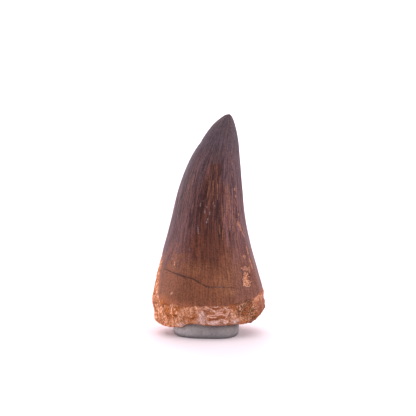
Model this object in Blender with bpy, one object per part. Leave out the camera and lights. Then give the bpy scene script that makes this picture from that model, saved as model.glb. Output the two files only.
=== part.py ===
"""A fossil mosasaur tooth standing on a pressed pad of grey mounting putty.

Metres, +Z up. The origin is the middle of the pad's flat foot, on the surface that the pad stands on.
The tooth's front, -Y, is the face between its two cutting ridges: the mesial one on the left, at -X,
and the distal one on the right, at +X and turned towards the front. The crown leans to the right and
a little to the back. Its broken base is one piece with it: crown, enamel edge and bony collar are one
solid, and the pad is the other. Angles go round the tooth, in degrees: 0 at +X, -90 at the front.
"""

from math import atan2, cos, degrees, exp, hypot, pi, radians, sin

import bmesh
import bpy
from mathutils import Vector, noise

MM = 0.001

# The tooth's height above the surface, and the level where the crown's rings give way to the collar's.
TIP_Z = 51.15 * MM
COLLAR_TOP_Z = 13.6 * MM

# Down the crown: the distance below the tip, then the left, right, front and back edge of the section.
SECTIONS = [
    [MM * size for size in row]
    for row in (
        (0.0, 5.3, 5.3, 2.2, 2.2),
        (0.8, 3.5, 6.2, 1.3, 3.1),
        (2.3, 1.7, 6.8, 0.2, 4.0),
        (5.9, -1.0, 7.6, -1.3, 5.0),
        (10.6, -3.85, 8.1, -2.9, 5.7),
        (17.7, -6.55, 8.75, -4.7, 6.5),
        (24.8, -8.25, 9.55, -6.1, 7.2),
        (31.8, -10.1, 11.15, -7.4, 8.2),
        (38.9, -11.85, 13.2, -8.6, 9.4),
        (43.7, -12.4, 13.9, -9.3, 10.2),
        (48.2, -11.8, 13.7, -9.2, 10.1),
    )
]
CARINA_LINE = 0.45  # where the cutting ridges lie, as a share of the way from front to back

# The cutting ridges: the distal one twists on its way down from one angle to another.
MESIAL_ANGLE = 180.0
DISTAL_ANGLE_TIP = -51.0
DISTAL_ANGLE_BASE = -26.0
DISTAL_TURN = (46.0 * MM, 14.0 * MM)  # the levels where the twist begins and ends
CARINA_WIDTH = 9.0
CARINA_RISE = 0.03  # how far the ridges stand out, as a share of the section's half width

# Flat facets down the crown: the angle of the middle, the half width, and the depth as that share.
FACETS = (
    (-144.0, 20.0, 0.040),
    (-76.0, 20.0, 0.030),
    (40.0, 20.0, 0.035),
    (90.0, 18.0, 0.030),
    (140.0, 20.0, 0.035),
)
COLLAR_RELIEF = 0.4  # the share of the ridges and facets that is left on the collar
RELIEF_FADE = 6.0 * MM

# The enamel's lower edge, which rises to the right.
ENAMEL_EDGE_Z = 8.0 * MM
ENAMEL_RIGHT_RISE = 2.7 * MM
ENAMEL_RIGHT_WIDTH = 42.0
ENAMEL_WANDER = 0.4 * MM
ENAMEL_WAVES = 3.0

# The bony collar under it: how it swells out below the edge, how lumpy it is, and the ledges of its bone
# at the front.
COLLAR_BLEND = 1.3 * MM
COLLAR_CLIMB = 3.0 * MM  # how much higher it starts along the mesial ridge
COLLAR_CLIMB_WIDTH = 17.6
COLLAR_CALM = 0.5  # the share of its lumps that is lost along that ridge
COLLAR_SWELL = 0.15 * MM
COLLAR_ROUGHNESS = 0.65 * MM
COLLAR_LUMP_SIZE = 3.2 * MM
LEDGE_ANGLE = -84.0
LEDGE_WIDTH = 26.0
LEDGE_PITCH = 1.9 * MM
LEDGE_DEPTH = 0.16 * MM

# The broken underside: its level, the rim's shape in front of it, and the hollow of the pulp cavity.
BASE_Z = 3.25 * MM
BASE_ROUGHNESS = 0.22 * MM
RIM_START = 0.6  # share of the way out where the rim's shape begins
RIM_FULL = 0.95
PULP_HOLLOW = 1.3 * MM
PULP_START = 0.7
PULP_FULL = 0.15

# A lobe of bone hangs at the left of the rim and ends in a step, with a notch beside it.
LOBE_ANGLE = -140.0
LOBE_DROP = 0.85 * MM
LOBE_LEFT = (-46.0, -18.0)
LOBE_RIGHT = (19.5, 15.5)
NOTCH_ANGLE = -110.0
NOTCH_WIDTH = 14.0
NOTCH_RISE = 0.3 * MM

# The right corner of the base is broken off along a slope.
BREAK_X = 10.2 * MM
BREAK_SLOPE = 0.72

# The worn corner between the side and the underside.
RIM_CORNER = 1.0 * MM
LEFT_CORNER = 0.8 * MM
RIGHT_CORNER = 0.4 * MM
CORNER_WIDTH = 36.0

# Chips broken out of the enamel beside the distal ridge: angle, level, half width in degrees,
# half height, and depth.
CHIPS = (
    (-41.5, 16.1 * MM, 5.4, 0.8 * MM, 0.25 * MM),
    (-40.0, 13.5 * MM, 5.6, 1.5 * MM, 0.40 * MM),
)

# The putty pad: a pressed ball with a flat foot, and the clearance that it keeps to the tooth.
PAD_RADIUS = 7.7 * MM
PAD_FOOT_RADIUS = 7.3 * MM
PAD_BULGE_Z = 1.9 * MM
PAD_SHOULDER = 0.93  # share of the radius where the putty meets the tooth
PAD_SQUARENESS = 2.6  # exponent of the outline, which is a circle at 2 and squarer above it
PAD_UNEVENNESS = 0.03
PAD_SPREAD = 0.10  # how much further the putty is pressed out at the front right, as a share
PAD_SPREAD_ANGLE = -52.0
PAD_SPREAD_WIDTH = 32.0
PAD_WAVES = 1.3
PAD_GAP = 0.3 * MM

# How finely the two solids are faceted. The crown's rings crowd together towards the tip.
SEGMENTS = 80
CROWN_RINGS = 22
CROWN_CROWDING = 1.5
COLLAR_RINGS = 14
CORNER_RINGS = 3
FLOOR_RINGS = 7
PAD_SEGMENTS = 48
PAD_SIDE_RINGS = 3
PAD_TOP_RINGS = 6

FOSSIL_BROWN = (0.16, 0.07, 0.05, 1.0)
PUTTY_GREY = (0.25, 0.23, 0.23, 1.0)


def between(angle, other):
    """The smallest turn from one angle to another, in degrees."""
    return (angle - other + 180.0) % 360.0 - 180.0


def bump(distance, width):
    """1 at a distance of 0, falling smoothly to nothing over the width."""
    return exp(-((distance / width) ** 2))


def ease(value, start, end):
    """0 before start, 1 after end, and a smooth rise between them."""
    share = min(1.0, max(0.0, (value - start) / (end - start)))
    return share * share * (3.0 - 2.0 * share)


def lumps(point, size):
    """Rounded lumps and hollows about as wide as size, from -1 to 1."""
    dimension, lacunarity, octaves = 1.0, 2.0, 2
    return noise.fractal(point / size, dimension, lacunarity, octaves)


def edges_at(below):
    """The section's left, right, front and back edge at a distance below the tip.

    The curve runs through SECTIONS against the square root of that distance, which rounds the tip.
    """
    roots = [row[0] ** 0.5 for row in SECTIONS]
    root = min(max(below, 0.0) ** 0.5, roots[-1])
    last = len(SECTIONS) - 1
    above = max(i for i in range(last) if roots[i] <= root)
    span = roots[above + 1] - roots[above]
    share = (root - roots[above]) / span

    def slope(station, column):
        first, second = max(station - 1, 0), min(station + 1, last)
        rise = SECTIONS[second][column] - SECTIONS[first][column]
        return rise / (roots[second] - roots[first]) * span

    edges = []
    for column in range(1, 5):
        start, end = SECTIONS[above][column], SECTIONS[above + 1][column]
        leave, arrive = slope(above, column), slope(above + 1, column)
        edges.append(
            start * (1.0 + 2.0 * share) * (1.0 - share) ** 2
            + end * share * share * (3.0 - 2.0 * share)
            + leave * share * (1.0 - share) ** 2
            - arrive * share * share * (1.0 - share)
        )
    return edges


def enamel_edge(angle):
    """The level where the enamel stops."""
    turn = radians(angle)
    wander = noise.noise(Vector((cos(turn), sin(turn), 0.0)) * ENAMEL_WAVES)
    right = ENAMEL_RIGHT_RISE * bump(between(angle, 0.0), ENAMEL_RIGHT_WIDTH)
    return ENAMEL_EDGE_Z + right + ENAMEL_WANDER * wander


def wall_point(angle, z):
    """A point on the tooth's side, before the collar's relief, and the direction out of it."""
    left, right, front, back = edges_at(TIP_Z - z)
    half_width = (right - left) / 2.0
    ridge_y = front + CARINA_LINE * (back - front)
    turn = radians(angle)
    half_depth = back - ridge_y if sin(turn) > 0.0 else ridge_y - front

    distal = DISTAL_ANGLE_TIP + (DISTAL_ANGLE_BASE - DISTAL_ANGLE_TIP) * ease(z, *DISTAL_TURN)
    ridge = max(
        bump(between(angle, MESIAL_ANGLE), CARINA_WIDTH), bump(between(angle, distal), CARINA_WIDTH)
    )
    pressed = CARINA_RISE * (1.0 - ridge)
    for middle, width, depth in FACETS:
        pressed += depth * bump(between(angle, middle), width)
    pressed *= 1.0 - (1.0 - COLLAR_RELIEF) * ease(z, ENAMEL_EDGE_Z + RELIEF_FADE, ENAMEL_EDGE_Z)

    out = Vector((cos(turn), sin(turn), 0.0))
    centre = Vector(((left + right) / 2.0, ridge_y, z))
    reach = Vector((half_width * out.x, half_depth * out.y, 0.0))
    return centre + reach * (1.0 - pressed), out


def side_point(angle, z):
    """A point on the tooth's side, with the collar's swelling, lumps and ledges, and the chips."""
    point, out = wall_point(angle, z)
    mesial = bump(between(angle, MESIAL_ANGLE), COLLAR_CLIMB_WIDTH)
    edge = enamel_edge(angle) + COLLAR_CLIMB * mesial
    uneven = lumps(point, COLLAR_LUMP_SIZE) * (1.0 - COLLAR_CALM * mesial)
    wave = sin(2.0 * pi * (z / LEDGE_PITCH + uneven))
    ledges = LEDGE_DEPTH * wave * bump(between(angle, LEDGE_ANGLE), LEDGE_WIDTH)
    offset = COLLAR_SWELL + COLLAR_ROUGHNESS * uneven + ledges
    offset *= ease(z, edge, edge - COLLAR_BLEND)
    for middle, level, width, height, depth in CHIPS:
        offset -= depth * bump(between(angle, middle), width) * bump(z - level, height)
    return point + out * offset


def underside(x, y):
    """The level of the broken base over a point of the plan, which the putty follows too."""
    left, right, front, back = edges_at(TIP_Z - BASE_Z)
    across = (2.0 * x - left - right) / (right - left)
    along = (2.0 * y - front - back) / (back - front)
    reach = hypot(across, along)
    angle = degrees(atan2(along, across))

    turn = between(angle, LOBE_ANGLE)
    lobe = LOBE_DROP * ease(turn, *LOBE_LEFT) * ease(turn, *LOBE_RIGHT)
    notch = NOTCH_RISE * bump(between(angle, NOTCH_ANGLE), NOTCH_WIDTH)
    level = (
        BASE_Z
        + BASE_ROUGHNESS * lumps(Vector((x, y, 0.0)), COLLAR_LUMP_SIZE)
        + PULP_HOLLOW * ease(reach, PULP_START, PULP_FULL)
        + (notch - lobe) * ease(reach, RIM_START, RIM_FULL)
    )
    return max(level, BASE_Z + BREAK_SLOPE * (x - BREAK_X))


def corner_size(angle):
    """The radius of the worn corner between the side and the underside."""
    return (
        RIM_CORNER
        + (LEFT_CORNER - RIM_CORNER) * bump(between(angle, 180.0), CORNER_WIDTH)
        + (RIGHT_CORNER - RIM_CORNER) * bump(between(angle, 0.0), CORNER_WIDTH)
    )


def loft(name, rings, bottom, top):
    """A closed mesh through rings of points that go from the bottom to the top."""
    shape = bmesh.new()
    rows = [[shape.verts.new(point) for point in ring] for ring in rings]
    for lower, upper in zip(rows, rows[1:]):
        for i in range(len(lower)):
            j = (i + 1) % len(lower)
            shape.faces.new((lower[i], lower[j], upper[j], upper[i]))
    for row, pole in ((rows[0][::-1], bottom), (rows[-1], top)):
        centre = shape.verts.new(pole)
        for i in range(len(row)):
            shape.faces.new((row[i], row[(i + 1) % len(row)], centre))
    mesh = bpy.data.meshes.new(name)
    shape.to_mesh(mesh)
    shape.free()
    return mesh


def angles(segments):
    return [360.0 * i / segments - 180.0 for i in range(segments)]


def tooth_rings():
    """The rings of the tooth from the middle of its underside up to the tip, and that middle."""
    rings = []
    left, right, front, back = edges_at(TIP_Z - BASE_Z)
    middle = Vector(((left + right) / 2.0, (front + back) / 2.0))

    # Where the side begins, over the worn corner of the rim.
    starts = {}
    for angle in angles(SEGMENTS):
        rim, _ = wall_point(angle, BASE_Z)
        starts[angle] = side_point(angle, underside(rim.x, rim.y) + corner_size(angle))

    def floor_point(angle, share):
        start = starts[angle].to_2d()
        edge = start + (middle - start).normalized() * corner_size(angle)
        spot = middle.lerp(edge, share)
        return Vector((spot.x, spot.y, underside(spot.x, spot.y)))

    def corner_point(angle, turn):
        foot, start = floor_point(angle, 1.0), starts[angle]
        flat = foot.lerp(start, sin(turn))
        return Vector((flat.x, flat.y, foot.z + (start.z - foot.z) * (1.0 - cos(turn))))

    for i in range(1, FLOOR_RINGS + 1):
        rings.append([floor_point(angle, i / FLOOR_RINGS) for angle in angles(SEGMENTS)])
    for i in range(1, CORNER_RINGS + 1):
        turn = pi / 2.0 * i / CORNER_RINGS
        rings.append([corner_point(angle, turn) for angle in angles(SEGMENTS)])
    for i in range(1, COLLAR_RINGS + 1):
        ring = []
        for angle in angles(SEGMENTS):
            start_z = starts[angle].z
            ring.append(side_point(angle, start_z + (COLLAR_TOP_Z - start_z) * i / COLLAR_RINGS))
        rings.append(ring)
    for i in range(CROWN_RINGS - 1, 0, -1):
        z = TIP_Z - (TIP_Z - COLLAR_TOP_Z) * (i / CROWN_RINGS) ** CROWN_CROWDING
        rings.append([side_point(angle, z) for angle in angles(SEGMENTS)])
    return rings, Vector((middle.x, middle.y, underside(middle.x, middle.y)))


def pad_rings():
    """The rings of the pad from its flat foot, round its bulging side and in over its top."""
    rings = []

    def spot(angle, radius):
        turn = radians(angle)
        way = Vector((cos(turn), sin(turn), 0.0))
        radius *= 1.0 + PAD_UNEVENNESS * noise.noise(way * PAD_WAVES)
        radius *= 1.0 + PAD_SPREAD * bump(between(angle, PAD_SPREAD_ANGLE), PAD_SPREAD_WIDTH)
        radius /= (abs(way.x) ** PAD_SQUARENESS + abs(way.y) ** PAD_SQUARENESS) ** (1.0 / PAD_SQUARENESS)
        return radius * way.x, radius * way.y

    def top_point(angle, radius):
        x, y = spot(angle, radius)
        return Vector((x, y, underside(x, y) - PAD_GAP))

    for i in range(PAD_SIDE_RINGS + 1):
        turn = pi / 2.0 * i / PAD_SIDE_RINGS
        radius = PAD_FOOT_RADIUS + (PAD_RADIUS - PAD_FOOT_RADIUS) * sin(turn)
        z = PAD_BULGE_Z * (1.0 - cos(turn))
        rings.append([Vector((*spot(angle, radius), z)) for angle in angles(PAD_SEGMENTS)])
    for i in range(1, PAD_SIDE_RINGS + 1):
        share = i / PAD_SIDE_RINGS
        ring = []
        for angle in angles(PAD_SEGMENTS):
            x, y = spot(angle, PAD_RADIUS * (1.0 - (1.0 - PAD_SHOULDER) * share**2))
            z = PAD_BULGE_Z + (underside(x, y) - PAD_GAP - PAD_BULGE_Z) * share
            ring.append(Vector((x, y, z)))
        rings.append(ring)
    for i in range(1, PAD_TOP_RINGS):
        radius = PAD_RADIUS * PAD_SHOULDER * (1.0 - i / PAD_TOP_RINGS)
        rings.append([top_point(angle, radius) for angle in angles(PAD_SEGMENTS)])
    return rings, top_point(0.0, 0.0)


def plain_material(name, colour, roughness):
    material = bpy.data.materials.new(name)
    material.use_nodes = True
    shader = material.node_tree.nodes["Principled BSDF"]
    shader.inputs["Base Color"].default_value = colour
    shader.inputs["Roughness"].default_value = roughness
    shader.inputs["Metallic"].default_value = 0.0
    return material


def add_solid(name, mesh, material, collection):
    mesh.shade_smooth()
    mesh.materials.append(material)
    solid = bpy.data.objects.new(name, mesh)
    collection.objects.link(solid)


def main():
    for old in list(bpy.data.objects):
        bpy.data.objects.remove(old)
    collection = bpy.data.collections.new("fossil_mosasaur_tooth")
    bpy.context.scene.collection.children.link(collection)

    rings, floor_middle = tooth_rings()
    left, right, front, back = edges_at(0.0)
    tip = Vector(((left + right) / 2.0, (front + back) / 2.0, TIP_Z))
    tooth = loft("tooth", rings, floor_middle, tip)
    add_solid("tooth", tooth, plain_material("fossil_enamel", FOSSIL_BROWN, 0.4), collection)

    rings, top_middle = pad_rings()
    pad = loft("putty_pad", rings, Vector((0.0, 0.0, 0.0)), top_middle)
    add_solid("putty_pad", pad, plain_material("putty", PUTTY_GREY, 0.7), collection)


main()
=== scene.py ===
"""The looks of a fossil mosasaur tooth on a pad of mounting putty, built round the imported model.

Metres, +Z up, with the tooth's front at -Y. Angles go round the tooth in degrees: 0 at +X, -90 at the
front, 180 at the mesial cutting ridge on the left.
"""

from math import cos, pi, radians, sin

import bpy
import numpy as np
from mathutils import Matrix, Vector, noise


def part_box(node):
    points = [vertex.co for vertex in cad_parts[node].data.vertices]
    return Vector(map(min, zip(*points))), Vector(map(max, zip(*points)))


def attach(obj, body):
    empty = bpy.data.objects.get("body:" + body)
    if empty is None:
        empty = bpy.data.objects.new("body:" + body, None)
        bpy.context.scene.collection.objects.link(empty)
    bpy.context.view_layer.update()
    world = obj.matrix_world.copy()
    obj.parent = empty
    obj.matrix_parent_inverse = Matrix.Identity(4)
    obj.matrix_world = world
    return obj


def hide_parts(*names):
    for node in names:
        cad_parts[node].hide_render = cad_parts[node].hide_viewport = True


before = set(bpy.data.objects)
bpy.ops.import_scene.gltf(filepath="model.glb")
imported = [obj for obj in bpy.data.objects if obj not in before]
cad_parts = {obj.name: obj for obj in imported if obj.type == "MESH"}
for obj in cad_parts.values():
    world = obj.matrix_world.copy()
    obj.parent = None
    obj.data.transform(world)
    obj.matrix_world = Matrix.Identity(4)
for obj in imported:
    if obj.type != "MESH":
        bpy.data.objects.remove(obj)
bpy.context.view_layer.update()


# The fossil tooth: a curved crown of dark striated enamel on a broken collar of rough, orange-tan bone.
# It grew as one piece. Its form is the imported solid's, a loft of oval sections from the middle of the
# underside to the tip, on a grid fine enough to carry the relief of the bone, the chips and the crack.
MM = 0.001
TIP_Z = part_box("tooth")[1].z
BASE_Z = 3.25 * MM
COLLAR_TOP_Z = 15.0 * MM

# Down the crown: the distance below the tip, then the left, right, front and back edge of the section.
SECTIONS = MM * np.array(
    (
        (0.0, 5.3, 5.3, 2.2, 2.2),
        (0.8, 3.5, 6.2, 1.3, 3.1),
        (2.3, 1.7, 6.8, 0.2, 4.0),
        (5.9, -1.0, 7.6, -1.3, 5.0),
        (10.6, -3.85, 8.1, -2.9, 5.7),
        (17.7, -6.55, 8.75, -4.7, 6.5),
        (24.8, -8.25, 9.55, -6.1, 7.2),
        (31.8, -10.1, 11.15, -7.4, 8.2),
        (38.9, -11.85, 13.2, -8.6, 9.4),
        (43.7, -12.4, 13.9, -9.3, 10.2),
        (48.2, -11.8, 13.7, -9.2, 10.1),
    )
)
CARINA_LINE = 0.45  # where the cutting ridges lie, as a share of the way from front to back
MESIAL_ANGLE = 180.0
DISTAL_ANGLE_TIP, DISTAL_ANGLE_BASE = -51.0, -26.0
DISTAL_TURN = (46.0 * MM, 14.0 * MM)  # the levels between which the distal ridge twists
CARINA_WIDTH, CARINA_RISE = 9.0, 0.03  # in degrees, and as a share of the section's half size

# Shallow facets of the crown: angle, half width in degrees, and depth as a share of that half size. The
# collar has only a part of them.
FACETS = (
    (-144.0, 20.0, 0.040),
    (-76.0, 20.0, 0.030),
    (40.0, 20.0, 0.035),
    (90.0, 18.0, 0.030),
    (140.0, 20.0, 0.035),
)
COLLAR_RELIEF, RELIEF_FADE = 0.4, 6.0 * MM

# The enamel's lower edge, which steps up at the left, and the strip along the mesial ridge where the
# enamel is worn away. The swelling of the collar reaches higher by WORN_SWELL along that ridge.
ENAMEL_EDGE_Z = 8.0 * MM
ENAMEL_RIGHT_RISE, ENAMEL_RIGHT_WIDTH = 2.7 * MM, 42.0
ENAMEL_WANDER, ENAMEL_WAVES, COLLAR_BLEND = 0.4 * MM, 3.0, 1.3 * MM
WORN_RISE, WORN_WIDTH, WORN_SWELL = 10.9 * MM, 17.6, 3.0 * MM
WORN_FRAY, WORN_LIMIT = 1.6, 1.3  # in millimetres, as the step's rise is
STEP_ANGLE, STEP_WIDTH, STEP_RISE = -151.0, 8.0, 1.1

# The collar and the broken underside, with ledges at the front, a hollow where the pulp was, a lobe that
# hangs at the left with a notch beside it, and a corner that is broken off at the right.
COLLAR_SWELL, COLLAR_ROUGHNESS, COLLAR_LUMP_SIZE = 0.15 * MM, 0.65 * MM, 3.2 * MM
BASE_ROUGHNESS = 0.22 * MM
LEDGE_ANGLE, LEDGE_WIDTH, LEDGE_PITCH, LEDGE_DEPTH = -84.0, 26.0, 1.9 * MM, 0.16 * MM
RIM_START, RIM_FULL = 0.6, 0.95
PULP_HOLLOW, PULP_START, PULP_FULL = 1.3 * MM, 0.7, 0.15
LOBE_ANGLE, LOBE_DROP = -140.0, 0.85 * MM
LOBE_LEFT, LOBE_RIGHT = (-46.0, -18.0), (19.5, 15.5)
NOTCH_ANGLE, NOTCH_WIDTH, NOTCH_RISE = -110.0, 14.0, 0.3 * MM
BREAK_X, BREAK_SLOPE = 10.2 * MM, 0.72
RIM_CORNER, LEFT_CORNER, RIGHT_CORNER, CORNER_WIDTH = 1.0 * MM, 0.8 * MM, 0.4 * MM, 36.0

# Chips in the enamel that bare the bone: angle, level, half width in degrees, half height and depth.
CHIPS = (
    (-41.5, 16.1 * MM, 5.4, 0.65 * MM, 0.25 * MM),
    (-41.0, 14.2 * MM, 4.6, 1.10 * MM, 0.30 * MM),
    (-43.0, 13.0 * MM, 5.8, 1.00 * MM, 0.40 * MM),
    (-135.4, 10.5 * MM, 2.6, 0.45 * MM, 0.15 * MM),
)
DENT = (180.0, 44.7 * MM, 12.0, 0.45 * MM, 0.12 * MM)  # in the mesial ridge, with its enamel whole

# The crack across the front: angle and level of its bends, then its size, the angles over which it fades
# out at each end, and those over which it gets fainter towards the right.
CRACK = (
    (-168.0, 16.5 * MM),
    (-155.6, 15.7 * MM),
    (-144.4, 15.3 * MM),
    (-132.0, 15.1 * MM),
    (-121.5, 14.7 * MM),
    (-111.1, 14.2 * MM),
    (-105.5, 13.9 * MM),
    (-98.2, 13.1 * MM),
    (-93.1, 12.5 * MM),
    (-80.0, 12.3 * MM),
    (-66.7, 12.2 * MM),
    (-55.9, 11.7 * MM),
)
CRACK_DEPTH, CRACK_WIDTH = 0.10 * MM, 0.18 * MM
CRACK_LEFT_END, CRACK_RIGHT_END = (-166.0, -145.0), (-50.0, -62.0)
CRACK_FADE, CRACK_FAINT, CRACK_GAIN = (-85.0, -96.0), 0.7, 0.3

# The relief, with sizes and heights in millimetres: the bone's curls, pits, layers and fine grain, what
# the chips have of them, and the flutes and slow swells of the enamel.
GRAIN_RADIUS = 10.0  # of the cylinder that the streaks run up
RAGGED_PARTS = ((0.25, 1.5), (0.05, 0.5))  # height and size of the waves in the edge of the enamel
CURL_SIZE, CURL_REACH, WORM_SIZE = 1.1, 0.7, 1.05
DRAWN_ANGLE, DRAWN_WIDTH, DRAWN_OUT = -150.0, 45.0, 0.55
CREST_WIDTH, PIT_MIDDLE, PIT_WIDTH = 0.14, 0.42, 0.12
LAYERED_ANGLE, LAYERED_WIDTH, LAYERED_LEVELS = -81.0, 17.0, (8.4 * MM, 7.6 * MM)
LAYER_PITCH, LAYER_WAVER = 0.95 * MM, 1.3
CREST_HEIGHT, PIT_DEPTH, FINE_HEIGHT, BONE_SETBACK = 0.14, 0.16, 0.07, 0.06
CHIP_CREST, CHIP_PIT, CHIP_FINE, NICK_DEPTH = 0.12, 0.2, 0.12, 0.08
FLUTE_HEIGHT, FLUTE_SIZE, FLUTE_STRETCH = 0.035, 1.5, 0.12
SWELL_HEIGHT, SWELL_SIZE = 0.05, 4.0

# Marks in the enamel, as routes of an angle and a level in millimetres each: pale scuffs, gold lines, and
# dark lines, with a fine second crack and the outlines of the chips among them.
SCUFFS = (
    ((-106.4, 31.3), (-106.0, 30.8)),
    ((-97.8, 29.9), (-97.4, 29.1)),
    ((-94.9, 30.5), (-94.5, 30.3)),
    ((-89.7, 29.6), (-89.1, 28.8)),
    ((-85.4, 31.1), (-83.5, 31.4)),
    ((-81.4, 30.8), (-82.3, 30.5)),
    ((-107.8, 26.4), (-106.2, 25.5), (-104.4, 24.3)),
    ((-92.0, 28.0), (-94.1, 26.8)),
    ((-104.3, 31.9), (-100.9, 31.8)),
    ((-154.2, 28.0), (-153.6, 27.9)),
    ((-116.5, 21.1), (-116.3, 20.8)),
    ((-145.2, 18.2), (-144.6, 18.1)),
    ((-80.6, 12.4), (-79.6, 12.4)),
    ((-77.4, 12.4), (-76.2, 12.3)),
    ((-74.4, 12.3), (-73.6, 12.3)),
    ((-165.0, 39.6), (-164.6, 39.3)),
)
GOLD_LINES = (
    ((-69.2, 49.7), (-70.4, 48.1), (-72.1, 46.4), (-70.1, 44.8), (-71.6, 43.3), (-73.8, 42.3)),
    ((-50.8, 43.0), (-50.6, 42.5)),
    ((-49.9, 40.7), (-49.0, 40.1)),
    ((-49.5, 38.5), (-48.6, 37.1)),
    ((-88.5, 36.4), (-85.5, 33.0)),
    ((-95.6, 36.4), (-93.9, 34.1)),
    ((-78.7, 35.7), (-76.7, 32.1)),
    ((-62.1, 35.2), (-61.3, 32.9)),
    ((-61.5, 32.5), (-60.0, 28.4)),
    ((-68.0, 30.9), (-67.4, 27.0)),
    ((-55.4, 33.1), (-57.0, 25.2)),
    ((-50.4, 31.9), (-51.2, 24.6)),
    ((-46.5, 28.5), (-46.8, 22.8)),
    ((-44.2, 31.9), (-40.5, 30.5)),
    ((-73.4, 26.4), (-73.0, 24.4)),
    ((-67.8, 25.5), (-69.4, 23.0)),
    ((-43.7, 23.9), (-44.1, 21.4)),
    ((-57.5, 35.5), (-56.5, 31.0)),
)
DARK_LINES = (
    ((-106.8, 39.2), (-110.5, 36.8), (-112.5, 34.6)),
    ((-104.0, 36.0), (-106.0, 33.0)),
    ((-91.4, 37.5), (-91.0, 35.5)),
    ((-86.0, 38.9), (-83.5, 34.5)),
    ((-131.0, 18.6), (-110.0, 18.9), (-81.0, 19.0)),
    ((-134.0, 15.0), (-124.0, 14.5), (-116.0, 14.3)),
    ((-41.5, 17.2), (-46.0, 16.4), (-46.6, 15.3), (-45.6, 14.0), (-46.0, 12.6)),
    ((-41.5, 15.4), (-37.0, 15.0), (-33.8, 14.5)),
)

# Marks in the bone: pale strokes, most of them the edges of its layers, and dark ones between them.
PALE_STROKES = (
    ((-95.7, 8.2), (-91.2, 7.7), (-86.7, 7.1), (-84.2, 6.9)),
    ((-88.1, 8.0), (-84.5, 7.9), (-80.8, 7.9)),
    ((-74.4, 7.8), (-71.1, 7.2), (-69.4, 6.3), (-71.9, 5.5)),
    ((-83.4, 6.5), (-76.9, 6.5)),
    ((-91.5, 6.0), (-83.5, 6.1), (-77.0, 6.1), (-72.3, 5.8)),
    ((-92.0, 5.7), (-87.2, 5.4), (-82.7, 5.6)),
    ((-92.3, 4.5), (-87.3, 4.6), (-82.1, 4.7), (-75.2, 4.8), (-71.0, 4.4)),
    ((-91.4, 4.0), (-83.7, 4.3), (-80.1, 4.5)),
    ((-75.4, 4.1), (-71.0, 4.2), (-67.8, 4.0)),
    ((-67.1, 6.1), (-66.1, 5.4)),
    ((-62.7, 4.5), (-62.2, 3.9)),
    ((-109.9, 7.3), (-109.3, 6.1)),
    ((-105.0, 8.2), (-102.2, 7.5)),
    ((-149.2, 7.0), (-150.6, 5.4)),
    ((-132.8, 7.2), (-133.0, 5.9)),
    ((-146.5, 5.5), (-143.3, 4.8), (-141.0, 5.1)),
    ((-129.5, 4.1), (-127.1, 3.4), (-123.6, 3.2)),
    ((-163.7, 7.5), (-163.7, 6.0)),
    ((-124.4, 5.4), (-123.1, 4.3)),
    ((-117.7, 7.0), (-117.5, 5.8)),
    ((-57.6, 7.8), (-58.0, 6.8)),
    ((-58.1, 6.1), (-56.8, 5.1)),
    ((-39.6, 8.4), (-28.8, 9.5), (-2.7, 10.0)),
    ((-29.5, 9.4), (-30.3, 8.6)),
)
DARK_STROKES = (
    ((-90.1, 5.1), (-84.6, 5.0), (-78.3, 5.3)),
    ((-79.0, 4.2), (-76.5, 4.2)),
    ((-86.0, 7.4), (-81.5, 7.4)),
    ((-145.5, 5.6), (-144.2, 4.9)),
    ((-155.9, 7.2), (-155.6, 6.7)),
    ((-140.5, 7.0), (-140.8, 6.4)),
    ((-95.5, 7.2), (-91.5, 6.9)),
    ((-117.7, 4.4), (-117.9, 3.8)),
)

# Where the distal ridge is nicked, low down.
NICKS = (
    ((-36.7, 26.5), (-36.6, 25.7), (-34.9, 24.8)),
    ((-39.7, 26.8), (-39.3, 26.1)),
    ((-32.3, 24.4), (-29.9, 23.4)),
    ((-30.0, 20.9), (-28.9, 20.2), (-28.9, 19.3)),
    ((-38.9, 19.0), (-35.4, 18.8)),
    ((-29.3, 18.1), (-28.0, 17.1), (-27.8, 16.0)),
    ((-33.6, 16.3), (-34.3, 15.2)),
)

# The levels over which its fine nicks come in from the tip, and stop above those.
FINE_NICKS_START, FINE_NICKS_STOP = (46.0 * MM, 34.0 * MM), (26.0 * MM, 28.0 * MM)

# How wide the marks are drawn, in millimetres.
SCUFF_WIDTH, GOLD_WIDTH, DARK_WIDTH = 0.17, 0.12, 0.22
PALE_STROKE_WIDTH, DARK_STROKE_WIDTH, NICK_WIDTH, FINE_NICK_WIDTH = 0.19, 0.2, 0.22, 0.26

# Patches of another tone: angle, level, half width in degrees and half height in millimetres. The enamel
# has tan ones and larger, fainter tan areas, rubbed spots that bare the bone, and thin patches that let
# it show through. The others are the bone's own.
TAN_PATCHES = (
    (-65.8, 14.8, 2.4, 2.2),
    (-74.0, 13.2, 6.0, 1.6),
    (-67.5, 12.2, 3.0, 1.0),
    (-66.0, 11.1, 8.0, 0.9),
    (-138.0, 16.9, 2.6, 1.1),
)
TAN_AREAS = ((-61.0, 15.0, 12.0, 5.0), (-110.0, 16.5, 18.0, 1.2), (-42.0, 14.5, 6.0, 2.0))
RUBBED_SPOTS = (
    (-138.6, 17.3, 1.3, 0.4),
    (-171.8, 15.9, 3.0, 0.8),
    (-168.8, 17.0, 2.0, 0.4),
)
THIN_PATCHES = ((-147.0, 9.7, 4.0, 0.6), (-143.0, 8.7, 8.0, 0.9))
WHITE_PATCHES = (
    (-97.0, 6.0, 3.6, 1.1),
    (-98.0, 4.6, 4.6, 0.8),
    (-123.5, 3.3, 2.3, 0.6),
    (-85.0, 4.2, 9.0, 0.35),
    (-75.0, 4.3, 4.0, 0.4),
    (-62.5, 4.3, 4.0, 0.55),
    (-135.4, 10.6, 2.0, 0.3),
)
CRUST_PATCHES = ((-50.0, 7.6, 11.0, 2.6), (-42.0, 5.9, 8.0, 1.9))
RED_PATCHES = ((-26.5, 7.2, 7.0, 1.9), (-8.0, 7.4, 14.0, 2.6))
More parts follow.
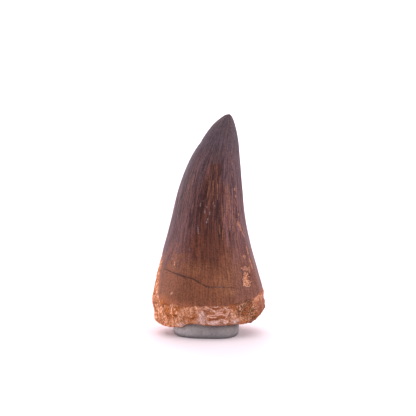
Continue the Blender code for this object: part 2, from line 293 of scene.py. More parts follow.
TAWNY_PATCHES = ((-38.5, 9.0, 4.0, 0.8), (-32.0, 9.6, 4.5, 0.8), (-25.0, 10.4, 5.0, 0.5))

# Where rust and gold streaks gather in the enamel: strength, angle, half width, level, half height.
GLOWS = (
    (1.0, -92.0, 13.0, 36.0, 4.5),
    (0.4, -58.0, 11.0, 29.0, 6.0),
    (0.55, -140.0, 17.0, 35.5, 5.0),
)

# The faces of the crown that are brown: the middle of the front one, and how far each reaches.
FRONT_FACE_ANGLE, FRONT_FACE_LEFT, FRONT_FACE_RIGHT = -85.0, (-44.0, -18.0), (27.0, 16.0)
BACK_FACE_ANGLE, BACK_FACE_REACH = 90.0, (36.0, 24.0)

SEGMENTS = 400
CROWN_RINGS, CROWN_CROWDING = 120, 1.2
COLLAR_RINGS = 84
CORNER_RINGS = 8
FLOOR_RINGS = 24
BACK = 90.0  # the angle of the first segment, where the surface map has its seam


def between(angle, other):
    """The smallest turn from one angle to another, in degrees."""
    return (angle - other + 180.0) % 360.0 - 180.0


def bump(distance, width):
    """1 at a distance of 0, falling smoothly to nothing over the width."""
    return np.exp(-((distance / width) ** 2))


def ease(value, start, end):
    """0 before start, 1 after end, and a smooth rise between them."""
    share = np.clip((value - start) / (end - start), 0.0, 1.0)
    return share * share * (3.0 - 2.0 * share)


def sampled(function, points):
    """The noise function's value at each of the points."""
    values = [function(Vector(point)) for point in points.reshape(-1, 3)]
    return np.array(values).reshape(points.shape[:-1])


def lumps(points, size):
    """Rounded lumps and hollows about as wide as size, from -1 to 1."""
    return sampled(lambda place: noise.fractal(place, 1.0, 2.0, 2), points / size)


def edges_at(below):
    """The section's left, right, front and back edge at each distance below the tip."""
    roots, sizes = np.sqrt(SECTIONS[:, 0]), SECTIONS[:, 1:]
    last = len(roots) - 1
    before = np.maximum(np.arange(last + 1) - 1, 0)
    after = np.minimum(np.arange(last + 1) + 1, last)
    slopes = (sizes[after] - sizes[before]) / (roots[after] - roots[before])[:, None]

    root = np.sqrt(np.clip(below, 0.0, SECTIONS[-1, 0]))
    above = np.clip(np.searchsorted(roots, root, side="right") - 1, 0, last - 1)
    span = (roots[above + 1] - roots[above])[..., None]
    share = (root - roots[above])[..., None] / span
    edges = (
        sizes[above] * (1.0 + 2.0 * share) * (1.0 - share) ** 2
        + sizes[above + 1] * share**2 * (3.0 - 2.0 * share)
        + slopes[above] * span * share * (1.0 - share) ** 2
        - slopes[above + 1] * span * share**2 * (1.0 - share)
    )
    return np.moveaxis(edges, -1, 0)


def ring_noise(angle, waves):
    """Noise round the tooth that closes on itself."""
    turn = np.radians(angle)
    return sampled(noise.noise, waves * np.stack((np.cos(turn), np.sin(turn), 0.0 * turn), -1))


def enamel_edge(angle):
    """The level where the enamel stops."""
    right = ENAMEL_RIGHT_RISE * bump(between(angle, 0.0), ENAMEL_RIGHT_WIDTH)
    return ENAMEL_EDGE_Z + right + ENAMEL_WANDER * ring_noise(angle, ENAMEL_WAVES)


def distal_angle(z):
    return DISTAL_ANGLE_TIP + (DISTAL_ANGLE_BASE - DISTAL_ANGLE_TIP) * ease(z, *DISTAL_TURN)


def wall(angle, z):
    """Points on the tooth's side, before the collar's relief."""
    left, right, front, back = edges_at(TIP_Z - z)
    turn = np.radians(angle)
    ridge_y = front + CARINA_LINE * (back - front)
    half_depth = np.where(np.sin(turn) > 0.0, back - ridge_y, ridge_y - front)
    ridge = np.maximum(
        bump(between(angle, MESIAL_ANGLE), CARINA_WIDTH),
        bump(between(angle, distal_angle(z)), CARINA_WIDTH),
    )
    pressed = CARINA_RISE * (1.0 - ridge)
    for middle, width, depth in FACETS:
        pressed = pressed + depth * bump(between(angle, middle), width)
    pressed *= 1.0 - (1.0 - COLLAR_RELIEF) * ease(z, ENAMEL_EDGE_Z + RELIEF_FADE, ENAMEL_EDGE_Z)
    x = (left + right) / 2.0 + (right - left) / 2.0 * np.cos(turn) * (1.0 - pressed)
    y = ridge_y + half_depth * np.sin(turn) * (1.0 - pressed)
    return np.stack(np.broadcast_arrays(x, y, z), -1)


def side(angle, z):
    """Points on the tooth's side, with the collar's swelling, lumps and ledges, and the chips."""
    points = wall(angle, z)
    mesial = bump(between(angle, MESIAL_ANGLE), WORN_WIDTH)
    edge = enamel_edge(angle) + WORN_SWELL * mesial
    uneven = lumps(points, COLLAR_LUMP_SIZE) * (1.0 - 0.5 * mesial)
    ledges = np.sin(2.0 * pi * (z / LEDGE_PITCH + uneven)) * bump(between(angle, LEDGE_ANGLE), LEDGE_WIDTH)
    offset = COLLAR_SWELL + COLLAR_ROUGHNESS * uneven + LEDGE_DEPTH * ledges
    offset *= ease(z, edge, edge - COLLAR_BLEND)
    for middle, level, width, height, depth in (*CHIPS, DENT):
        offset = offset - depth * bump(between(angle, middle), width) * bump(z - level, height)
    turn = np.radians(angle)
    return points + offset[:, None] * np.stack((np.cos(turn), np.sin(turn), 0.0 * turn), -1)


def underside(x, y):
    """The level of the broken base over points of the plan, which the putty follows too."""
    left, right, front, back = edges_at(np.array(TIP_Z - BASE_Z))
    across = (2.0 * x - left - right) / (right - left)
    along = (2.0 * y - front - back) / (back - front)
    reach = np.hypot(across, along)
    angle = np.degrees(np.arctan2(along, across))
    turn = between(angle, LOBE_ANGLE)
    lobe = LOBE_DROP * ease(turn, *LOBE_LEFT) * ease(turn, *LOBE_RIGHT)
    notch = NOTCH_RISE * bump(between(angle, NOTCH_ANGLE), NOTCH_WIDTH)
    level = (
        BASE_Z
        + BASE_ROUGHNESS * lumps(np.stack((x, y, 0.0 * x), -1), COLLAR_LUMP_SIZE)
        + PULP_HOLLOW * ease(reach, PULP_START, PULP_FULL)
        + (notch - lobe) * ease(reach, RIM_START, RIM_FULL)
    )
    return np.maximum(level, BASE_Z + BREAK_SLOPE * (x - BREAK_X))


def corner_size(angle):
    """The radius of the worn corner between the side and the underside."""
    left = (LEFT_CORNER - RIM_CORNER) * bump(between(angle, 180.0), CORNER_WIDTH)
    right = (RIGHT_CORNER - RIM_CORNER) * bump(between(angle, 0.0), CORNER_WIDTH)
    return RIM_CORNER + left + right


def tooth_grid(angle):
    """The tooth's points, ring by ring from the middle of its underside up to the tip."""
    corner = corner_size(angle)
    rim = wall(angle, np.full_like(angle, BASE_Z))
    start = side(angle, underside(rim[:, 0], rim[:, 1]) + corner)
    left, right, front, back = edges_at(np.array(TIP_Z - BASE_Z))
    middle = np.array(((left + right) / 2.0, (front + back) / 2.0))
    inward = middle - start[:, :2]
    edge = start[:, :2] + inward / np.linalg.norm(inward, axis=1)[:, None] * corner[:, None]

    def floor_ring(share):
        spot = middle + (edge - middle) * share
        return np.column_stack((spot, underside(spot[:, 0], spot[:, 1])))

    rings = [floor_ring(i / FLOOR_RINGS) for i in range(1, FLOOR_RINGS + 1)]
    foot = rings[-1]
    for i in range(1, CORNER_RINGS + 1):
        turn = pi / 2.0 * i / CORNER_RINGS
        ring = foot + (start - foot) * sin(turn)
        ring[:, 2] = foot[:, 2] + (start - foot)[:, 2] * (1.0 - cos(turn))
        rings.append(ring)
    for i in range(1, COLLAR_RINGS + 1):
        rings.append(side(angle, start[:, 2] + (COLLAR_TOP_Z - start[:, 2]) * i / COLLAR_RINGS))
    for i in range(CROWN_RINGS - 1, 0, -1):
        z = TIP_Z - (TIP_Z - COLLAR_TOP_Z) * (i / CROWN_RINGS) ** CROWN_CROWDING
        rings.append(side(angle, np.full_like(angle, z)))
    return np.array(rings)


def normals_of(grid):
    """The direction out of the surface at each point of a grid of closed rings."""
    around = np.roll(grid, -1, axis=1) - np.roll(grid, 1, axis=1)
    upward = np.gradient(grid, axis=0)
    normals = np.cross(around, upward)
    return normals / np.linalg.norm(normals, axis=2)[..., None]


def closed_mesh(name, grid, bottom, top):
    """A closed mesh through the rings of a grid and a pole at each end, with a map of the surface."""
    rings, segments = grid.shape[:2]
    points = np.concatenate((grid.reshape(-1, 3), [bottom, top]))
    lower = np.arange(rings * segments).reshape(rings, segments)
    ahead = np.roll(lower, -1, axis=1)
    quads = np.stack((lower[:-1], ahead[:-1], ahead[1:], lower[1:]), -1).reshape(-1, 4)
    faces = quads.tolist()
    faces += [(int(ahead[0, i]), int(lower[0, i]), len(points) - 2) for i in range(segments)]
    faces += [(int(lower[-1, i]), int(ahead[-1, i]), len(points) - 1) for i in range(segments)]
    mesh = bpy.data.meshes.new(name)
    mesh.from_pydata(points.tolist(), [], faces)
    mesh.shade_smooth()

    # The map unrolls the rings side by side. Its height follows the length of the profile, and a fan of
    # triangles closes it at each end.
    steps = np.linalg.norm(np.diff(grid.mean(axis=1), axis=0), axis=1)
    steps += np.abs(np.diff(np.linalg.norm(grid - grid.mean(axis=1)[:, None], axis=2).mean(axis=1)))
    height = np.concatenate(([0.0], np.cumsum(steps)))
    height = 0.01 + 0.98 * height / height[-1]
    i, j = np.meshgrid(np.arange(rings - 1), np.arange(segments), indexing="ij")
    corners = [(j, i), (j + 1, i), (j + 1, i + 1), (j, i + 1)]
    sides = np.stack([np.stack((a / segments, height[b]), -1) for a, b in corners], 2).reshape(-1, 2)
    j = np.arange(segments)
    fans = [
        np.stack([np.column_stack(((j + a) / segments, 0.0 * j + b)) for a, b in ends], 1).reshape(-1, 2)
        for ends in (((1, 0.01), (0, 0.01), (0.5, 0.0)), ((0, 0.99), (1, 0.99), (0.5, 1.0)))
    ]
    mapped = np.concatenate((sides, *fans))
    mesh.uv_layers.new(name="OFBake").data.foreach_set("uv", mapped.ravel())
    return mesh


def keep(mesh, name, values):
    """Keeps a number, or a vector, for each point of the mesh, for its material to read."""
    vector = values.ndim == 2
    made = mesh.attributes.new(name, "FLOAT_VECTOR" if vector else "FLOAT", "POINT")
    made.data.foreach_set("vector" if vector else "value", values.ravel())


angle = BACK + 360.0 / SEGMENTS * np.arange(SEGMENTS)
grid = tooth_grid(angle)
place = grid / MM
z = grid[..., 2]
angles = np.broadcast_to(angle, z.shape)

# The wall without its relief, a little wavy in height: the marks are measured from its points.
smooth_wall = wall(angles, z) / MM
smooth_wall[:FLOOR_RINGS] = place[:FLOOR_RINGS]
smooth_wall[..., 2] += 0.2 * sampled(noise.noise, place / 1.2) + 0.1 * sampled(noise.noise, place / 0.5)


def lines(routes, width):
    """1 on the lines through each route, falling to nothing over the width in millimetres."""
    share = np.zeros_like(z)
    for route in routes:
        turns, levels = np.array(route).T
        stops = wall(turns, levels * MM) / MM
        for start, end in zip(stops[:-1], stops[1:]):
            along = np.clip((smooth_wall - start) @ (end - start) / np.sum((end - start) ** 2), 0.0, 1.0)
            apart = np.linalg.norm(smooth_wall - start - along[..., None] * (end - start), axis=2)
            share = np.maximum(share, bump(apart, width))
    return share


def wavy(points, size):
    return sampled(noise.noise, points / size)


# How far the edge of a patch strays, in degrees and in millimetres.
astray = 2.4 * wavy(place + 17.0, 0.8)
aloft = 0.4 * wavy(place + 31.0, 0.8)


def patches(places):
    """1 in the middle of each patch, falling to nothing at its uneven edges."""
    share = np.zeros_like(z)
    for middle, level, width, tall in places:
        across = bump(between(angles, middle) + astray, width)
        share = np.maximum(share, across * bump(z / MM - level + aloft, tall))
    return share


# The bone's own relief: curly ridges, drawn out upwards on the left, pits, and thin layers at the front.
# It shows where above_enamel, the distance above the enamel's lower edge, is less than 0.
turn = np.radians(angles)
grain = np.stack((GRAIN_RADIUS * np.cos(turn), GRAIN_RADIUS * np.sin(turn), z / MM), -1)
ragged = sum(share * wavy(place, size) for share, size in RAGGED_PARTS)
mesial = bump(between(angles, MESIAL_ANGLE), WORN_WIDTH)
worn = (ENAMEL_EDGE_Z + WORN_RISE * mesial - z) / MM + WORN_FRAY * ragged - WORN_LIMIT * (1.0 - mesial)
step = STEP_RISE * bump(between(angles, STEP_ANGLE), STEP_WIDTH)
above_enamel = np.minimum(z / MM - enamel_edge(angle)[None] / MM - step + ragged, -worn)
bone = ease(above_enamel, 0.1, -0.1)
curl = np.stack([wavy(place + shift, CURL_SIZE) for shift in (0.0, 11.3, 27.1)], -1)
curled = place + CURL_REACH * curl
curled[..., 2] *= 1.0 - DRAWN_OUT * bump(between(angles, DRAWN_ANGLE), DRAWN_WIDTH)
worms = wavy(curled, WORM_SIZE)
crest = bump(worms, CREST_WIDTH) * ease(wavy(place, 1.0), -0.35, 0.05)
crest *= ease(abs(above_enamel), 0.05, 0.4)
pit = bump(worms - PIT_MIDDLE, PIT_WIDTH) * ease(wavy(place + 9.0, 1.2), -0.2, 0.2)
layered = bump(between(angles, LAYERED_ANGLE), LAYERED_WIDTH) * ease(z, *LAYERED_LEVELS)
layers = ease(np.sin(2.0 * pi * (z / LAYER_PITCH + LAYER_WAVER * curl[..., 0])), 0.3, 0.95)
crest = crest + (layers - crest) * layered
reddish = patches(RED_PATCHES)
crest = crest * (1.0 - 0.8 * reddish) * (1.0 - 0.6 * layered)
pit = pit * (1.0 - 0.7 * layered) * (1.0 - reddish) * ease(above_enamel, -0.3, -0.8)
fine = wavy(place, 0.4)
pale = np.maximum(0.85 * crest, lines(PALE_STROKES, PALE_STROKE_WIDTH))
height = bone * (CREST_HEIGHT * pale - PIT_DEPTH * pit + FINE_HEIGHT * fine - BONE_SETBACK)

# The chips, with uneven edges, bare the same bone.
unevenness = 0.6 * wavy(place, 0.5)
chipped = patches([(middle, level / MM, width, tall / MM) for middle, level, width, tall, _ in CHIPS])
chipped *= 1.2 + unevenness
pale = np.maximum(pale, 0.45 * chipped * ease(wavy(place, 0.45), -0.05, 0.15))
height += chipped * (CHIP_CREST * crest - CHIP_PIT * pit + CHIP_FINE * fine)

# The crack.
bends = np.array(CRACK)
turned = between(angles, 0.0)
crack_level = np.interp(turned, bends[:, 0], bends[:, 1])
crack = (z - crack_level) / MM + 0.5 * ragged + 0.14 * wavy(place, 0.5)
cracked = ease(turned, *CRACK_LEFT_END) * ease(turned, *CRACK_RIGHT_END)
cracked *= CRACK_FAINT + CRACK_GAIN * ease(turned, *CRACK_FADE)
height -= CRACK_DEPTH / MM * cracked * bump(crack, CRACK_WIDTH / MM)

# The nicks of the distal ridge: fine ones high up, and below them the ones placed one by one.
radius = np.hypot(*(grid - grid.mean(axis=1)[:, None])[..., :2].transpose(2, 0, 1))
from_ridge = np.radians(between(angles, distal_angle(z))) * radius / MM
nicks = ease(wavy(place, 0.7) + 0.6 * wavy(place, 0.25), 0.15, 0.45) * ease(z, *FINE_NICKS_START)
nicks *= ease(z, *FINE_NICKS_STOP) * bump(from_ridge + 0.25 * curl[..., 1], FINE_NICK_WIDTH)
nicks = np.maximum(nicks, lines(NICKS, NICK_WIDTH) * (1.0 + unevenness))
height -= NICK_DEPTH * nicks

# The enamel's flutes, which run up the crown, and its slow swells.
flutes = wavy(grain * (1.0, 1.0, FLUTE_STRETCH), FLUTE_SIZE)
height += FLUTE_HEIGHT * (1.0 - bone) * flutes + SWELL_HEIGHT * (1.0 - bone) * wavy(place, SWELL_SIZE)
grid = grid + height[..., None] * MM * normals_of(grid)

left, right, front, back = edges_at(np.array(0.0))
tip = ((left + right) / 2.0, (front + back) / 2.0, TIP_Z)
mesh = closed_mesh("fossil_tooth", grid, grid[0].mean(axis=0), tip)


def with_poles(values):
    """The grid's values as one row for each point of the mesh, poles last."""
    rows = values.reshape(-1, *values.shape[2:])
    return np.concatenate((rows, values[[0, -1]].mean(axis=1)))


# Where the material finds each finish. The front face is narrower at the left near the tip, and its
# right limit lies further in above the middle.
fringe = 9.0 * wavy(grain * (1.0, 1.0, 0.15), 0.8) + 5.0 * wavy(place, 2.2)
across = between(angles, FRONT_FACE_ANGLE) + fringe
front_face = ease(across - 11.0 * ease(z, 34.0 * MM, 38.0 * MM), *FRONT_FACE_LEFT)
front_face *= ease(across + 5.0 * ease(z, 25.0 * MM, 35.0 * MM), *FRONT_FACE_RIGHT)
back_face = ease(abs(between(angles, BACK_FACE_ANGLE)) + fringe, *BACK_FACE_REACH)
crust = patches(CRUST_PATCHES)
glow = sum(
    share * bump(between(angles, middle), width) * bump(z / MM - level, tall)
    for share, middle, width, level, tall in GLOWS
)
break_depth = z - BASE_Z - BREAK_SLOPE * (grid[..., 0] - BREAK_X)
for name, values in {
    "grain": grain,
    "above_enamel": above_enamel,
    "frayed": np.maximum(mesial, crust),
    "thin": patches(THIN_PATCHES),
    "dark_strokes": lines(DARK_STROKES, DARK_STROKE_WIDTH),
    "pale": pale,
    "pit": pit,
    "layered": layered,
    "broken": ease(break_depth, 1.1 * MM, 0.2 * MM) * (z > BASE_Z),
    "crust": crust,
    "reddish": reddish,
    "tawny": patches(TAWNY_PATCHES),
    "white": patches(WHITE_PATCHES),
    "tan": np.maximum(patches(TAN_PATCHES), 0.45 * patches(TAN_AREAS)),
    "rubbed": patches(RUBBED_SPOTS),
    "chipped": chipped,
    "crack": crack,
    "cracked": cracked,
    "nicks": nicks,
    "face": np.maximum(front_face, back_face),
    "glow": glow,
    "scuffs": lines(SCUFFS, SCUFF_WIDTH),
    "gold_lines": lines(GOLD_LINES, GOLD_WIDTH),
    "dark_lines": lines(DARK_LINES, DARK_WIDTH),
}.items():
    keep(mesh, name, with_poles(values))


def add(tree, kind, inputs, **settings):
    """Adds a shader node. Each input is a value or another node's output."""
    made = tree.nodes.new("ShaderNode" + kind)
    for key, value in settings.items():
        setattr(made, key, value)
    for key, value in inputs.items():
        if isinstance(value, bpy.types.NodeSocket):
            tree.links.new(value, made.inputs[key])
        else:
            made.inputs[key].default_value = value
    return made


def number(tree, operation, first, second=0.0):
    return add(tree, "Math", {0: first, 1: second}, operation=operation).outputs[0]


def times(tree, first, second):
    return number(tree, "MULTIPLY", first, second)


def plus(tree, first, second):
    return number(tree, "ADD", first, second)


def larger(tree, first, second):
    return number(tree, "MAXIMUM", first, second)


def rest(tree, share):
    """What a share leaves of 1."""
    return number(tree, "SUBTRACT", 1.0, share)


def rise(tree, value, start, end, low=0.0, high=1.0):
    """The low value before start, the high one after end, and smooth between; start may be the larger."""
    inputs = {"Value": value, "From Min": start, "From Max": end, "To Min": low, "To Max": high}
    return add(tree, "MapRange", inputs, interpolation_type="SMOOTHSTEP").outputs[0]


def cover(tree, share, under, over):
    """One colour laid over another by a share."""
    return add(tree, "Mix", {0: share, 6: under, 7: over}, data_type="RGBA").outputs[2]


def darkened(tree, colour, tone):
    """The colour times a tone, which may be over 1."""
    inputs = {0: 1.0, 6: colour, 7: tone}
    return add(tree, "Mix", inputs, data_type="RGBA", blend_type="MULTIPLY").outputs[2]


def stretched(tree, vector, stretch):
    return add(tree, "VectorMath", {0: vector, 1: stretch}, operation="MULTIPLY").outputs[0]


def kept(tree, name):
    """A number that the mesh keeps for each of its points."""
    return add(tree, "Attribute", {}, attribute_name=name).outputs["Fac"]


def new_group(name, inputs, outputs):
    """A shader node group with named sockets, and its input and output node."""
    tree = bpy.data.node_groups.new(name, "ShaderNodeTree")
    for label, kind in inputs.items():
        tree.interface.new_socket(label, in_out="INPUT", socket_type="NodeSocket" + kind)
    for label in outputs:
        tree.interface.new_socket(label, in_out="OUTPUT", socket_type="NodeSocketFloat")
    return tree, tree.nodes.new("NodeGroupInput").outputs, tree.nodes.new("NodeGroupOutput").inputs


# Uneven tone, in the enamel, the bone and the putty: soft cloudy changes from 0 to 1, about as wide as
# the size, in millimetres.
UNEVEN, taken, given = new_group("Uneven tone", {"Vector": "Vector", "Size": "Float"}, ["Value"])
scale = number(UNEVEN, "DIVIDE", 1.0, taken["Size"])
inputs = {"Vector": taken["Vector"], "Scale": scale, "Detail": 3.0, "Roughness": 0.6}
clouds = add(UNEVEN, "TexNoise", inputs).outputs["Fac"]
UNEVEN.links.new(rise(UNEVEN, clouds, 0.25, 0.75), given["Value"])

# Specks, of dirt in the bone and of grit in the putty: sharp flecks of about the size, over about that
# share of the surface.
SPECKS, taken, given = new_group("Specks", {"Vector": "Vector", "Size": "Float", "Share": "Float"}, ["Mask"])
scale = number(SPECKS, "DIVIDE", 1.0, taken["Size"])
inputs = {"Vector": taken["Vector"], "Scale": scale, "Detail": 1.0, "Roughness": 0.5}
flecks = add(SPECKS, "TexNoise", inputs).outputs["Fac"]
start = number(SPECKS, "SUBTRACT", 0.72, times(SPECKS, taken["Share"], 0.45))
end = plus(SPECKS, start, 0.08)
SPECKS.links.new(rise(SPECKS, flecks, start, end), given["Mask"])

# Curls, of the bone's fine strands and of the gaps between them: thin curly lines about the size apart.
CURLS, taken, given = new_group("Curls", {"Vector": "Vector", "Size": "Float", "Width": "Float"}, ["Mask"])
scale = number(CURLS, "DIVIDE", 1.0, taken["Size"])
inputs = {"Vector": taken["Vector"], "Scale": scale, "Detail": 1.0, "Roughness": 0.5, "Distortion": 0.6}
field = add(CURLS, "TexNoise", inputs).outputs["Fac"]
apart = number(CURLS, "ABSOLUTE", number(CURLS, "SUBTRACT", field, 0.5))
CURLS.links.new(rise(CURLS, apart, taken["Width"], 0.0), given["Mask"])


def placed(tree, group, **values):
    """The first output of a node group placed in the tree with these inputs."""
    return add(tree, "Group", values, node_tree=group).outputs[0]


def new_material(name, roughness):
    """A material, its tree, its Principled shader, and the place on the object in millimetres."""
    material = bpy.data.materials.new(name)
    material.use_nodes = True
    tree = material.node_tree
    shader = tree.nodes["Principled BSDF"]
    shader.inputs["Roughness"].default_value = roughness
    here = add(tree, "TexCoord", {}).outputs["Object"]
    return material, tree, shader, stretched(tree, here, (1000.0, 1000.0, 1000.0))


# The colours of the enamel and its marks, then those of the bone.
ENAMEL_DARK = (0.050, 0.019, 0.018, 1.0)
ENAMEL_BROWN = (0.092, 0.030, 0.022, 1.0)
ENAMEL_MAUVE = (0.140, 0.063, 0.063, 1.0)
ENAMEL_WARM = (0.112, 0.034, 0.017, 1.0)
ENAMEL_LOW = (0.205, 0.074, 0.034, 1.0)
ENAMEL_TIP = (0.084, 0.062, 0.075, 1.0)
ENAMEL_VIOLET = (0.026, 0.017, 0.026, 1.0)
ENAMEL_TAN = (0.300, 0.130, 0.060, 1.0)
STREAK_GOLD = (0.310, 0.135, 0.065, 1.0)
STREAK_RUST = (0.160, 0.045, 0.020, 1.0)
SCUFF_GREY = (0.400, 0.330, 0.345, 1.0)
NICK_GOLD = (0.430, 0.200, 0.100, 1.0)
CHIP_TAN = (0.350, 0.160, 0.110, 1.0)
BONE_ORANGE = (0.420, 0.132, 0.034, 1.0)
BONE_RUST = (0.240, 0.072, 0.024, 1.0)
BONE_PALE = (0.790, 0.450, 0.290, 1.0)
BONE_WHITE = (0.740, 0.530, 0.470, 1.0)
BONE_DARK = (0.160, 0.050, 0.020, 1.0)
BONE_RED = (0.240, 0.085, 0.055, 1.0)
BONE_TAWNY = (0.420, 0.175, 0.092, 1.0)
BONE_BROWN = (0.320, 0.110, 0.045, 1.0)
BONE_PINK = (0.730, 0.450, 0.360, 1.0)
CRUST_OLIVE = (0.095, 0.040, 0.019, 1.0)
CRACK_DARK = (0.030, 0.016, 0.014, 1.0)

# Levels, in millimetres, over which the enamel's finish changes, with its painted sheen and painted light
# among them.
GREY_LEVELS, TIP_LEVELS, CAP_LEVELS = (30.0, 42.0), (40.5, 46.0), (40.3, 41.1)
WARM_LEVELS, LOW_LEVELS = (33.0, 25.0), (26.5, 17.5)
LIT_FROM, LIT_TO = (15.5, 19.0), (29.0, 22.0)
RIBS_FROM, RIBS_TO, PLAIN_LEVELS, VIOLET_LEVELS = (14.0, 29.0), (38.0, 44.0), (28.0, 22.0), (20.0, 30.0)
ENAMEL_GLOSS, ENAMEL_ROUGHNESS, BONE_ROUGHNESS = 0.30, 0.44, 0.8
FINE_RELIEF = 0.03 * MM

material, tree, shader, here = new_material("fossil_tooth", ENAMEL_ROUGHNESS)
shader.inputs["Specular IOR Level"].default_value = ENAMEL_GLOSS

# The grain lies on a cylinder about the tooth, so that streaks run up the crown. On it rightward and
# backward go from -10 to 10, and the level is in millimetres.
grain = add(tree, "Attribute", {}, attribute_name="grain").outputs["Vector"]
rightward, backward, level = add(tree, "SeparateXYZ", {0: grain}).outputs
streaks = placed(tree, UNEVEN, Vector=stretched(tree, grain, (1.0, 1.0, 0.13)), Size=0.65)
ribs = placed(tree, UNEVEN, Vector=stretched(tree, grain, (1.0, 1.0, 0.06)), Size=0.32)
dashes = placed(tree, UNEVEN, Vector=stretched(tree, grain, (1.0, 1.0, 0.2)), Size=0.35)
mottle = placed(tree, UNEVEN, Vector=here, Size=2.2)
dust = placed(tree, UNEVEN, Vector=here, Size=0.32)
dirt = placed(tree, SPECKS, Vector=stretched(tree, here, (1.0, 1.0, 0.7)), Size=0.5, Share=0.25)

# Enamel: brown and streaked on the front and back faces, and mauve beside them, partly its own colour and
# partly a painted sheen.
face = kept(tree, "face")
beside = rest(tree, face)
enamel = cover(tree, streaks, ENAMEL_DARK, ENAMEL_BROWN)
mauve = times(tree, beside, rise(tree, ribs, 0.3, 0.7, 0.6, 0.95))
enamel = cover(tree, mauve, enamel, ENAMEL_MAUVE)
# Towards the right it is lighter: painted light from that side.
enamel = darkened(tree, enamel, rise(tree, rightward, -7.0, 5.0, 0.95, 1.2))

# It is greyer towards the tip, from lower down beside the faces, with a sharply edged cap at the front:
# partly the enamel's own grey, partly a painted sheen.
streaky_level = plus(tree, level, times(tree, streaks, 3.0))
greyed = times(tree, rise(tree, streaky_level, *GREY_LEVELS, high=0.6), beside)
greyed = larger(tree, greyed, rise(tree, streaky_level, *TIP_LEVELS, high=0.85))
dashed_level = plus(tree, level, times(tree, dashes, 0.8))
cap = times(tree, rise(tree, dashed_level, *CAP_LEVELS), rise(tree, backward, 1.0, -4.0, high=0.55))
enamel = cover(tree, larger(tree, greyed, cap), enamel, ENAMEL_TIP)

# It is warmer lower down, first on the faces. The low colour starts a little further down on the faces and
# at the very left, and is weaker at the right. It is lighter at the left, and the lower left a little
# lighter again: painted light from that side.
mottled_level = plus(tree, level, times(tree, mottle, 5.0))
warm = times(tree, rise(tree, mottled_level, *WARM_LEVELS, high=0.85), face)
enamel = cover(tree, warm, enamel, ENAMEL_WARM)
lowered_level = plus(tree, mottled_level, times(tree, face, 2.0))
lowered_level = plus(tree, lowered_level, rise(tree, rightward, -9.6, -7.5, 2.2, 0.0))
low = rise(tree, lowered_level, *LOW_LEVELS, high=0.9)
low = times(tree, low, rise(tree, rightward, 1.0, 4.5, 1.0, 0.7))
low_colour = darkened(tree, ENAMEL_LOW, rise(tree, rightward, -9.0, -4.0, 1.4, 1.0))
enamel = cover(tree, low, enamel, low_colour)
lighter = times(tree, rise(tree, level, *LIT_FROM), rise(tree, level, *LIT_TO))
lighter = times(tree, lighter, rise(tree, rightward, -1.0, -3.5, high=0.12))
enamel = darkened(tree, enamel, plus(tree, 1.0, lighter))

# Rust and gold streaks gather in places, and tan patches lie low down.
glow = kept(tree, "glow")
rust = times(tree, glow, rise(tree, streaks, 0.35, 0.65))
enamel = cover(tree, times(tree, rust, 0.45), enamel, STREAK_RUST)
gold = times(tree, glow, rise(tree, ribs, 0.5, 0.75))
enamel = cover(tree, times(tree, gold, 0.4), enamel, STREAK_GOLD)
tan = times(tree, kept(tree, "tan"), rise(tree, streaks, 0.2, 0.7, 0.4, 0.85))
enamel = cover(tree, tan, enamel, ENAMEL_TAN)

# Fine ribs run all over it, weaker low down and at the tip. Dashes and dust break them up.
ribbed = times(tree, rise(tree, ribs, 0.25, 0.75, -0.4, 0.4), rise(tree, level, *RIBS_FROM, 0.4, 1.0))
ribbed = times(tree, ribbed, rise(tree, level, *RIBS_TO, 1.0, 0.6))
plain = times(tree, rise(tree, level, *PLAIN_LEVELS, high=0.45), beside)
ribbed = times(tree, ribbed, rest(tree, plain))
dashed = rise(tree, dashes, 0.25, 0.75, -0.06, 0.06)
dusted = rise(tree, dust, 0.25, 0.75, -0.22, 0.22)
tone = plus(tree, plus(tree, 1.0, ribbed), plus(tree, dashed, dusted))
enamel = darkened(tree, enamel, tone)
violet = times(tree, rise(tree, dashes, 0.45, 0.2, high=0.35), rise(tree, level, *VIOLET_LEVELS))
enamel = cover(tree, violet, enamel, ENAMEL_VIOLET)

# Its marks: dark and gold lines, a lighter edge along the bone, thin patches, scuffs, crack and nicks.
dim = times(tree, rise(tree, kept(tree, "dark_lines"), 0.1, 0.7), rise(tree, dust, 0.1, 0.6, 0.5, 0.25))
enamel = cover(tree, dim, enamel, ENAMEL_VIOLET)
bright = times(tree, rise(tree, kept(tree, "gold_lines"), 0.2, 0.9), rise(tree, dust, 0.2, 0.7, 0.3, 0.85))
bright = times(tree, bright, rise(tree, level, 46.0, 38.0, 0.3, 1.0))
enamel = cover(tree, bright, enamel, STREAK_GOLD)
above = kept(tree, "above_enamel")
edged = times(tree, rise(tree, above, 1.6, 0.2), rise(tree, rightward, -1.0, -4.0, 0.15, 0.4))
enamel = darkened(tree, enamel, plus(tree, 1.0, edged))
thin = times(tree, rise(tree, kept(tree, "thin"), 0.0, 0.8), rise(tree, dust, 0.3, 0.7, 0.3, 0.85))
enamel = cover(tree, thin, enamel, BONE_ORANGE)
scuffed = times(tree, rise(tree, kept(tree, "scuffs"), 0.2, 0.9), rise(tree, dust, 0.25, 0.6, 0.08, 0.45))
enamel = cover(tree, scuffed, enamel, SCUFF_GREY)
split = rise(tree, number(tree, "ABSOLUTE", kept(tree, "crack")), 0.28, 0.06, high=0.78)
split = times(tree, split, rise(tree, dashes, 0.1, 0.6, 0.35, 1.0))
enamel = cover(tree, times(tree, split, kept(tree, "cracked")), enamel, CRACK_DARK)
nicked = times(tree, rise(tree, kept(tree, "nicks"), 0.2, 0.65), rise(tree, dust, 0.2, 0.6, 0.35, 0.95))
enamel = cover(tree, nicked, enamel, NICK_GOLD)

# Bone: orange-tan, browner in the layers at the front, and rusty along the enamel.
layered = kept(tree, "layered")
bone = cover(tree, rise(tree, mottle, 0.2, 0.8, high=0.2), BONE_ORANGE, BONE_PALE)
bone = cover(tree, times(tree, layered, 0.75), bone, BONE_BROWN)
rusty = times(tree, rise(tree, above, -0.9, -0.1, high=0.6), rise(tree, above, 0.3, 0.1))
bone = cover(tree, rusty, bone, BONE_RUST)

